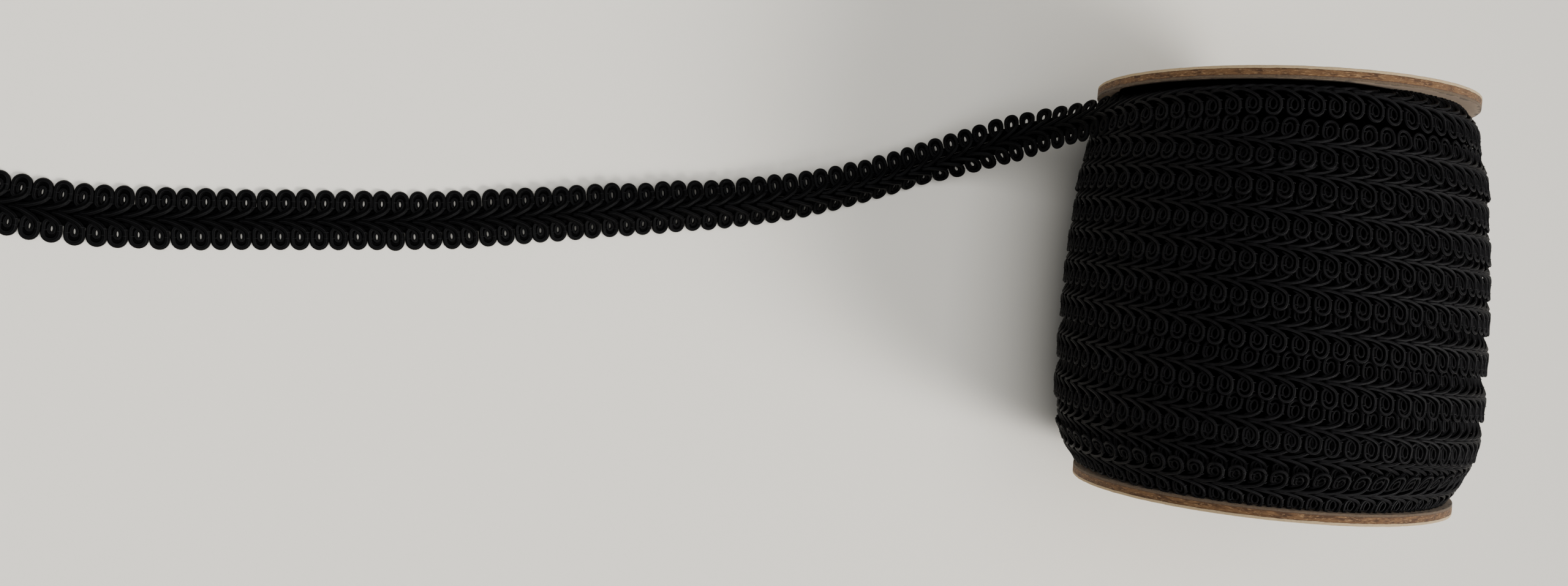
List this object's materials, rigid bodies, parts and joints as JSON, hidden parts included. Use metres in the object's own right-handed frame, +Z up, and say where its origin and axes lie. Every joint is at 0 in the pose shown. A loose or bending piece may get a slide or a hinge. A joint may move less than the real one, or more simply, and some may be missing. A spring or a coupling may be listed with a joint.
{
  "type": "galloon trim on a flanged reel",
  "caption": "Black looped gimp braid wound on a reel with two round board flanges, lying on its side with its loose end along the table.",
  "frame": {"origin": "on the table under the middle of the reel, at the winding's flat spot", "axes": "+Z up from the table, +Y along the reel's axis, -X toward the loose end of the braid"},
  "size_m": [0.2962, 0.0819, 0.0827],
  "materials": {
    "yarn": "black rayon cord, matt with a soft sheen",
    "board": "brown fibre board, raw cut edge"
  },
  "bodies": {
    "root": {"winding": "yarn", "tail": "yarn", "flange_back": "board", "flange_front": "board"}
  },
  "joints": []
}
